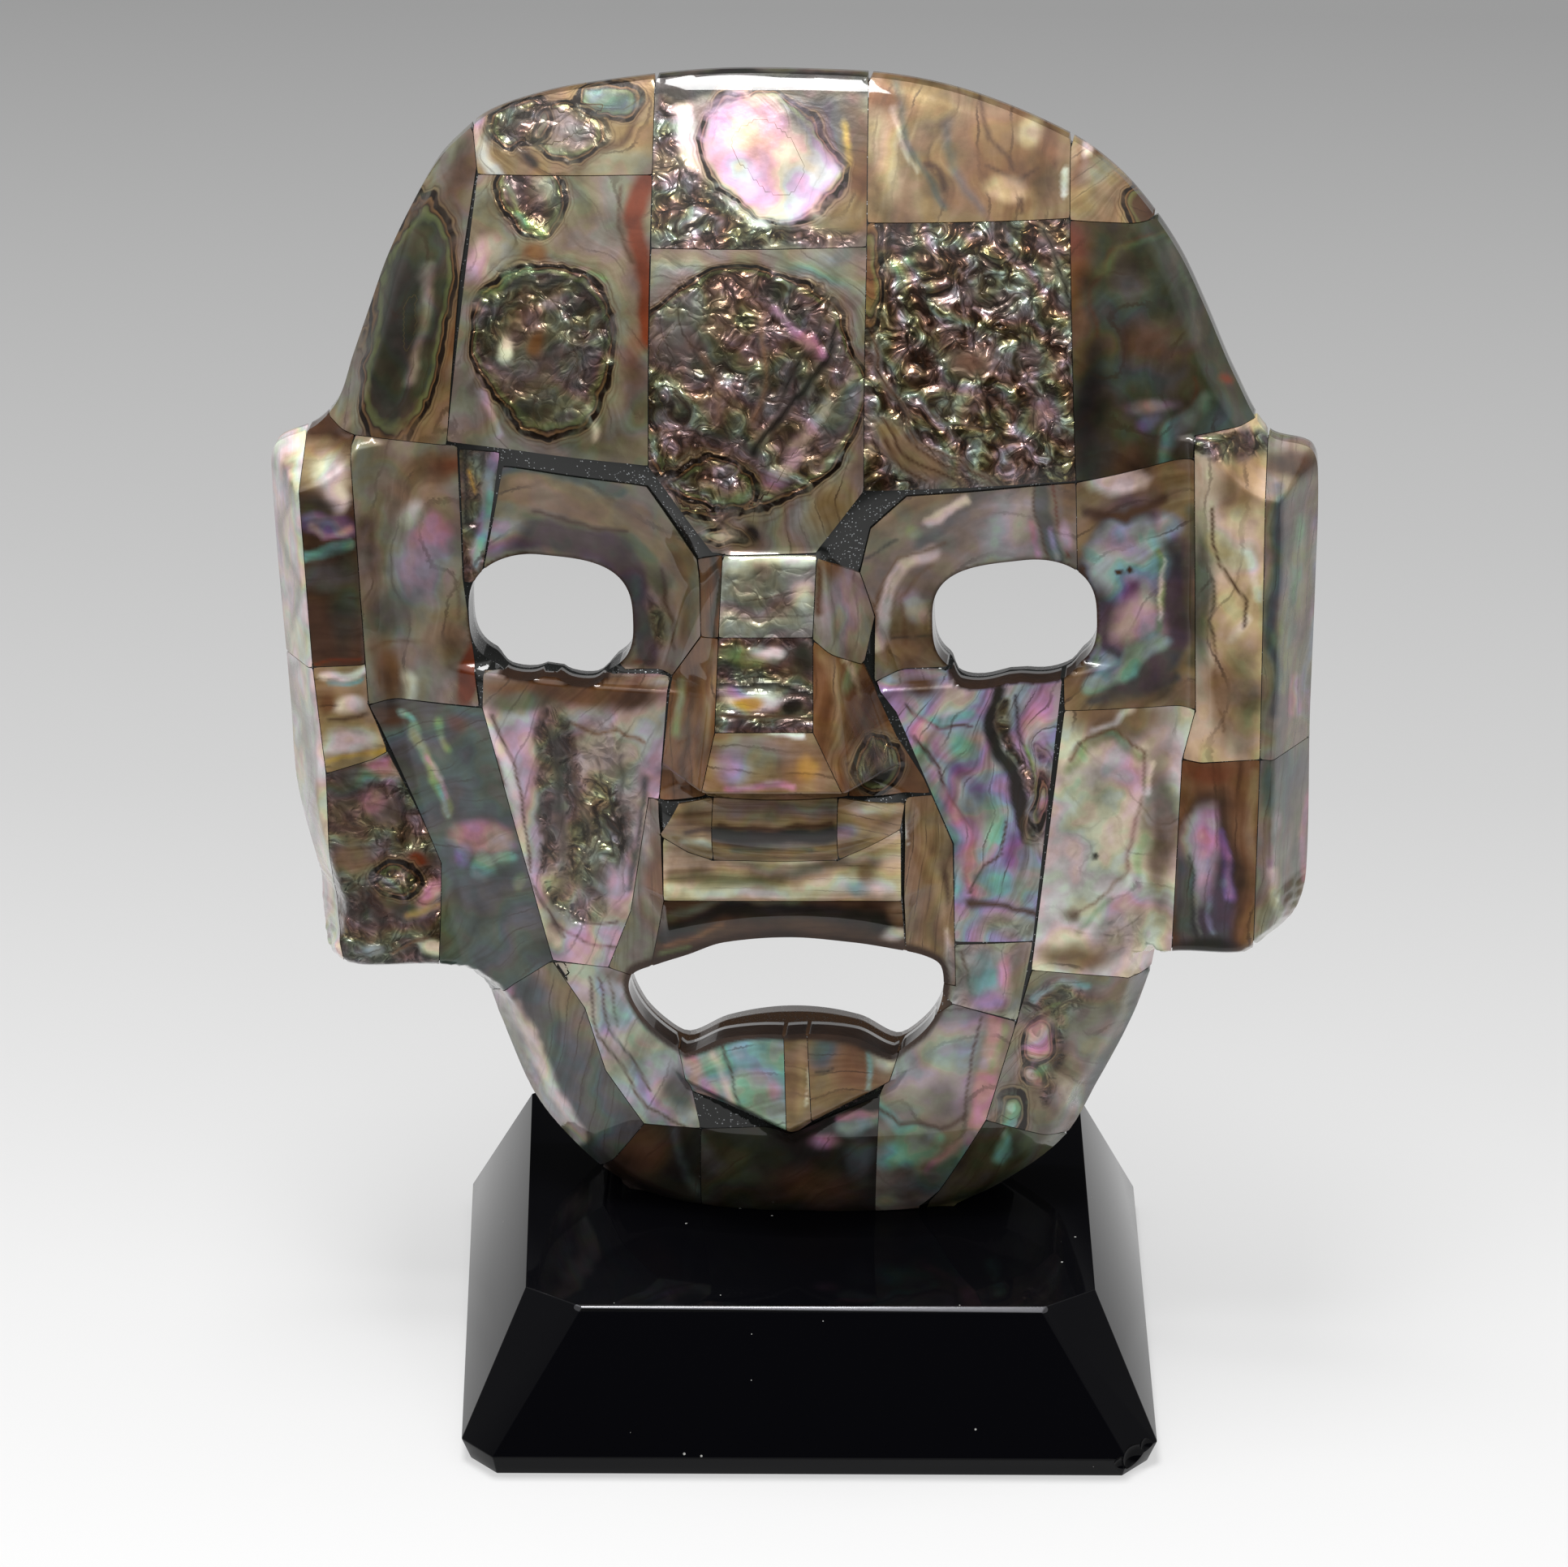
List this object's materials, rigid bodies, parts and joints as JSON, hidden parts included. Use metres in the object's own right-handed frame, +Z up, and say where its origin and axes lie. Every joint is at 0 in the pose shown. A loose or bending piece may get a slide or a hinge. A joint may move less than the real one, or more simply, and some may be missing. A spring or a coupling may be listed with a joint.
{
  "type": "shell mosaic mask on stand",
  "caption": "Hollow-backed face mask covered in thick pieces of polished abalone shell, with open eyes and mouth, leaning back on a low black polished stand.",
  "frame": {"origin": "middle of the stand's underside", "axes": "+Z up, -Y the way the face looks, +X to the right of someone who looks at the face"},
  "size_m": [0.1344, 0.0764, 0.1674],
  "materials": {
    "stone": "ground and polished to a mirror, opaque black",
    "resin": "black casting resin with fine silver flecks, polished",
    "shell_pearl": "polished nacre, silver white with pink and green",
    "shell_crinkled": "polished nacre over a crinkled growth, dark silver and brown",
    "shell_cloudy": "polished translucent shell, tan and brown growth layers",
    "shell_rainbow": "polished nacre, violet, pink and turquoise with dark layer lines",
    "shell_smoky": "polished dark olive and grey shell"
  },
  "bodies": {
    "root": {"stand": "stone", "core": "resin", "shell_nose_root": "shell_pearl", "shell_nose_bridge": "shell_crinkled", "shell_nose_tip": "shell_cloudy", "shell_nose_left_top": "shell_cloudy", "shell_nose_left": "shell_cloudy", "shell_nose_right_top": "shell_cloudy", "shell_nose_right": "shell_crinkled", "shell_wing_left": "shell_cloudy", "shell_wing_middle": "shell_cloudy", "shell_wing_right": "shell_cloudy", "shell_lip_top": "shell_cloudy", "shell_lip_under": "shell_smoky", "shell_lower_lip_ridge": "shell_cloudy", "shell_lower_lip_left": "shell_rainbow", "shell_lower_lip_right": "shell_cloudy", "shell_fold_left": "shell_cloudy", "shell_fold_right": "shell_cloudy", "shell_cheek_left": "shell_smoky", "shell_cheek_left_in": "shell_crinkled", "shell_cheek_right_in": "shell_rainbow", "shell_cheek_right": "shell_pearl", "shell_lid_left": "shell_cloudy", "shell_lid_corner_left": "shell_rainbow", "shell_temple_eye_left": "shell_cloudy", "shell_lid_right": "shell_pearl", "shell_temple_eye_right": "shell_rainbow", "shell_brow_middle": "shell_crinkled", "shell_brow_left": "shell_crinkled", "shell_brow_right": "shell_crinkled", "shell_crown_left": "shell_pearl", "shell_crown_middle": "shell_pearl", "shell_crown_right": "shell_cloudy", "shell_shoulder_right": "shell_cloudy", "shell_temple_left": "shell_smoky", "shell_temple_right": "shell_smoky", "shell_ear_left_top": "shell_pearl", "shell_ear_left_middle": "shell_pearl", "shell_ear_left_low": "shell_crinkled", "shell_ear_left_side": "shell_pearl", "shell_ear_left_side_low": "shell_pearl", "shell_ear_right_top": "shell_cloudy", "shell_ear_right_low": "shell_rainbow", "shell_ear_right_side": "shell_pearl", "shell_ear_right_side_low": "shell_smoky", "shell_jaw_left_in": "shell_rainbow", "shell_jaw_left": "shell_smoky", "shell_jaw_right_in": "shell_rainbow", "shell_jaw_right": "shell_pearl", "shell_chin_right": "shell_rainbow", "shell_chin_right_out": "shell_smoky", "shell_chin_middle": "shell_smoky", "shell_chin_left": "shell_smoky"}
  },
  "joints": []
}
